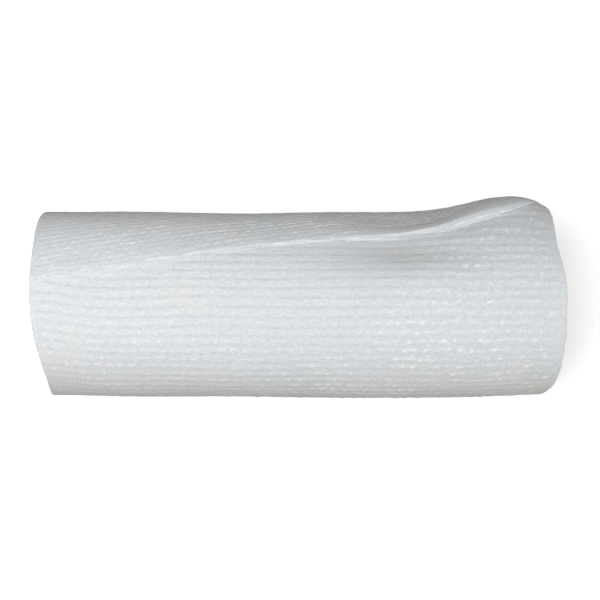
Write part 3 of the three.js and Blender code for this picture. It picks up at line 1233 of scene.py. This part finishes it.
@dataclass(frozen=True)
class CrepeFinish:
    """Bleached cotton crepe: matt and softly translucent, with painted shade in its grooves and painted
    highlights on its loops.
    """

    name: str
    base: Colour = (0.655, 0.685, 0.72)
    # The next two colours are those of the painted shade and of the painted highlight
    painted_shade: Colour = (0.50, 0.505, 0.51)
    loop: Colour = (0.95, 0.955, 0.96)
    warm: Colour = (0.685, 0.685, 0.685)
    cool: Colour = (0.635, 0.685, 0.72)
    roughness: float = 0.88
    gloss: float = 0.2
    sheen: float = 0.25
    sheen_spread: float = 0.6
    scatter: float = 0.12
    scatter_mm: float = 0.9
    scatter_tint: Colour = (1.0, 0.95, 0.9)
    shade: float = 0.8  # how much of the hollows' colour shows
    # share of painted highlight on the tops of the yarns
    crown_highlight: float = 0.36
    yarn_bump: float = 0.5
    yarn_depth_mm: float = 0.12

    def material(self, yarns: bpy.types.NodeTree, cast: bpy.types.NodeTree) -> bpy.types.Material:
        """Builds the material.

        Args:
            yarns: the group of fine yarns.
            cast: the group of slow tone changes.

        Returns:
            The material.
        """
        made = bpy.data.materials.new(self.name)
        made.use_nodes = True
        graph = Graph(made.node_tree)
        shader = made.node_tree.nodes["Principled BSDF"]

        place = graph.node("ShaderNodeTexCoord")
        slow = graph.node("ShaderNodeGroup", node_tree=cast)
        graph.feed(slow.inputs["Place"], place.outputs["Object"])
        strip = graph.node("ShaderNodeUVMap", uv_map="strip")
        fine = graph.node("ShaderNodeGroup", node_tree=yarns)
        graph.feed(fine.inputs["Strip"], strip.outputs["UV"])

        tone = graph.mix(slow.outputs["Warm"], opaque(self.base), opaque(self.warm))
        tone = graph.mix(slow.outputs["Cool"], tone, opaque(self.cool))
        # Painted highlight on the tops of the yarns
        crown_highlight = graph.math("MULTIPLY", fine.outputs["Crowns"], self.crown_highlight)
        tone = graph.mix(crown_highlight, tone, opaque(self.loop))
        # Painted shade from the mesh attribute darkens grooves, pinches and the shaded patches
        painted_shade = graph.node("ShaderNodeAttribute", attribute_name="painted_shade")
        shade = graph.math("MULTIPLY", painted_shade.outputs["Fac"], self.shade)
        tone = graph.mix(shade, tone, opaque(self.painted_shade))
        # Painted highlight from the loop attribute, on loops, threads and strands along the lip
        loop = graph.node("ShaderNodeAttribute", attribute_name="loop")
        tone = graph.mix(loop.outputs["Fac"], tone, opaque(self.loop))

        bump = graph.node("ShaderNodeBump")
        ripples = {
            "Strength": self.yarn_bump,
            "Distance": self.yarn_depth_mm * MM,
            "Height": fine.outputs["Height"],
        }
        graph.feed_all(bump, ripples)
        looks = {
            "Base Color": tone,
            "Normal": bump.outputs["Normal"],
            "Roughness": self.roughness,
            "Sheen Weight": self.sheen,
            "Sheen Roughness": self.sheen_spread,
            "Specular IOR Level": self.gloss,
            "Subsurface Weight": self.scatter,
            "Subsurface Radius": self.scatter_tint,
            "Subsurface Scale": self.scatter_mm * MM,
        }
        graph.feed_all(shader, looks)
        return made


# The studio


@dataclass(frozen=True)
class SoftLight:
    """A square soft light that faces the roll: its middle, its size, its power in watts and its colour."""

    name: str
    place: tuple[float, float, float]
    size: float
    power: float
    colour: Colour

    def hang(self, target: Vector) -> None:
        """Adds the light to the scene.

        Args:
            target: the place that it faces, in metres.
        """
        data = bpy.data.lights.new(self.name, "AREA")
        data.size = self.size * MM
        data.energy = self.power
        data.color = self.colour
        place = Vector(self.place) * MM
        aim(linked(self.name, data), place, target - place)


def aim(thing: bpy.types.Object, place: Vector, heading: Vector) -> None:
    """Puts a light or the camera in place and turns it.

    Args:
        thing: the light or camera.
        place: where it goes, in metres.
        heading: the direction that it looks in.
    """
    thing.location = place
    thing.rotation_mode = "QUATERNION"
    thing.rotation_quaternion = heading.to_track_quat("-Z", "Y")


@dataclass
class Studio:
    """A plain pale floor, soft lights over the roll, beside it and before it, and the camera over it."""

    winding: Winding
    distance: float = 322.0
    elevation: float = 80.0
    lens: float = 63.6
    look_shift: tuple[float, float] = (0.0033, 0.0075)
    floor_size: float = 3000.0
    floor_gap: float = 0.1
    floor_seen: Colour = (0.96, 0.955, 0.95)
    floor_bounce: Colour = (0.28, 0.23, 0.17)
    floor_lift: Colour = (0.45, 0.45, 0.45)
    room: Colour = (0.06, 0.06, 0.06)
    room_seen: Colour = (0.88, 0.88, 0.87)
    lights: tuple[SoftLight, ...] = (
        SoftLight("key light", (-200, -90, 545), 380, 3.25, (1.0, 0.995, 0.985)),
        SoftLight("fill light", (330, -160, 480), 500, 0.4, (0.96, 0.98, 1.0)),
        SoftLight("side light", (560, 20, 110), 260, 0.7, (0.98, 0.99, 1.0)),
        SoftLight("front light", (300, -420, 70), 220, 0.38, (1.0, 0.98, 0.95)),
    )

    def floor(self) -> None:
        """Lays the floor just under the roll: the camera sees it nearly white, but it lights the roll less."""
        half, down = self.floor_size / 2 * MM, -self.floor_gap * MM
        mesh = bpy.data.meshes.new("floor")
        corners = [(-half, -half, down), (half, -half, down), (half, half, down), (-half, half, down)]
        mesh.from_pydata(corners, [], [(0, 1, 2, 3)])
        floor = linked("floor", mesh)
        made = bpy.data.materials.new("pale floor")
        made.use_nodes = True
        graph = Graph(made.node_tree)
        shader = made.node_tree.nodes["Principled BSDF"]
        seen = graph.node("ShaderNodeLightPath").outputs["Is Camera Ray"]
        looks = {
            "Base Color": graph.mix(seen, opaque(self.floor_bounce), opaque(self.floor_seen)),
            "Emission Color": graph.mix(seen, opaque((0, 0, 0)), opaque(self.floor_lift)),
            "Emission Strength": 1.0,
            "Roughness": 0.9,
        }
        graph.feed_all(shader, looks)
        mesh.materials.append(made)

    def camera(self) -> None:
        """Puts the camera in front of the roll and high over it, looking at its axis."""
        target = Vector((0, self.winding.axis_y, self.winding.axis_z)) * MM
        rise = math.radians(self.elevation)
        back = Vector((0, -math.cos(rise), math.sin(rise)))
        data = bpy.data.cameras.new("camera")
        data.lens = self.lens
        data.sensor_width = 36
        data.shift_x, data.shift_y = self.look_shift
        data.clip_start = 0.01
        camera = linked("camera", data)
        aim(camera, target + back * self.distance * MM, -back)
        bpy.context.scene.camera = camera

    def light(self) -> None:
        """Hangs the soft lights and sets the even light of the room."""
        target = Vector((0, 0, self.winding.axis_z)) * MM
        for soft_light in self.lights:
            soft_light.hang(target)
        world = bpy.data.worlds.new("room")
        world.use_nodes = True
        graph = Graph(world.node_tree)
        room = world.node_tree.nodes["Background"]
        seen = graph.node("ShaderNodeLightPath").outputs["Is Camera Ray"]
        graph.feed(room.inputs["Color"], graph.mix(seen, opaque(self.room), opaque(self.room_seen)))
        bpy.context.scene.world = world
        bpy.context.scene.view_settings.view_transform = "Standard"

    def build(self) -> None:
        """Builds the whole studio."""
        self.floor()
        self.camera()
        self.light()


def add_piece(cloth: Cloth, name: str, material: bpy.types.Material, length: float) -> None:
    """Makes one length of the strip a piece of the part.

    Args:
        cloth: the length's grid.
        name: the piece's name.
        material: its finish.
        length: how long it is when it lies flat, in millimetres.
    """
    piece = cloth.mesh(name)
    piece.data.materials.append(material)
    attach(piece, BODY)
    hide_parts(NODE)
    log.info("%s: %d faces, %.0f mm of strip", name, len(piece.data.polygons), length)


def main() -> None:
    """Builds the studio and the four lengths of the strip."""
    logging.basicConfig(level=logging.INFO, format="%(name)s: %(message)s")
    winding = Winding()
    crepe = Crepe(winding)
    Studio(winding).build()
    yarns, cast = yarn_group(), cast_group()
    outer_finish = CrepeFinish("crepe face").material(yarns, cast)
    inner_finish = CrepeFinish("crepe edges", base=(0.72, 0.72, 0.715)).material(yarns, cast)

    outer = OuterTurn(winding, crepe)
    add_piece(outer.under(), "outer_turn_under", outer_finish, outer.under_length)
    add_piece(outer.front(), "outer_turn_front", outer_finish, outer.front_length)
    add_piece(outer.end(), "outer_turn_end", outer_finish, outer.end_length)
    inner = InnerTurns(winding, crepe)
    add_piece(inner.cloth(), "inner_turns", inner_finish, inner.length)


if __name__ == "__main__":
    main()
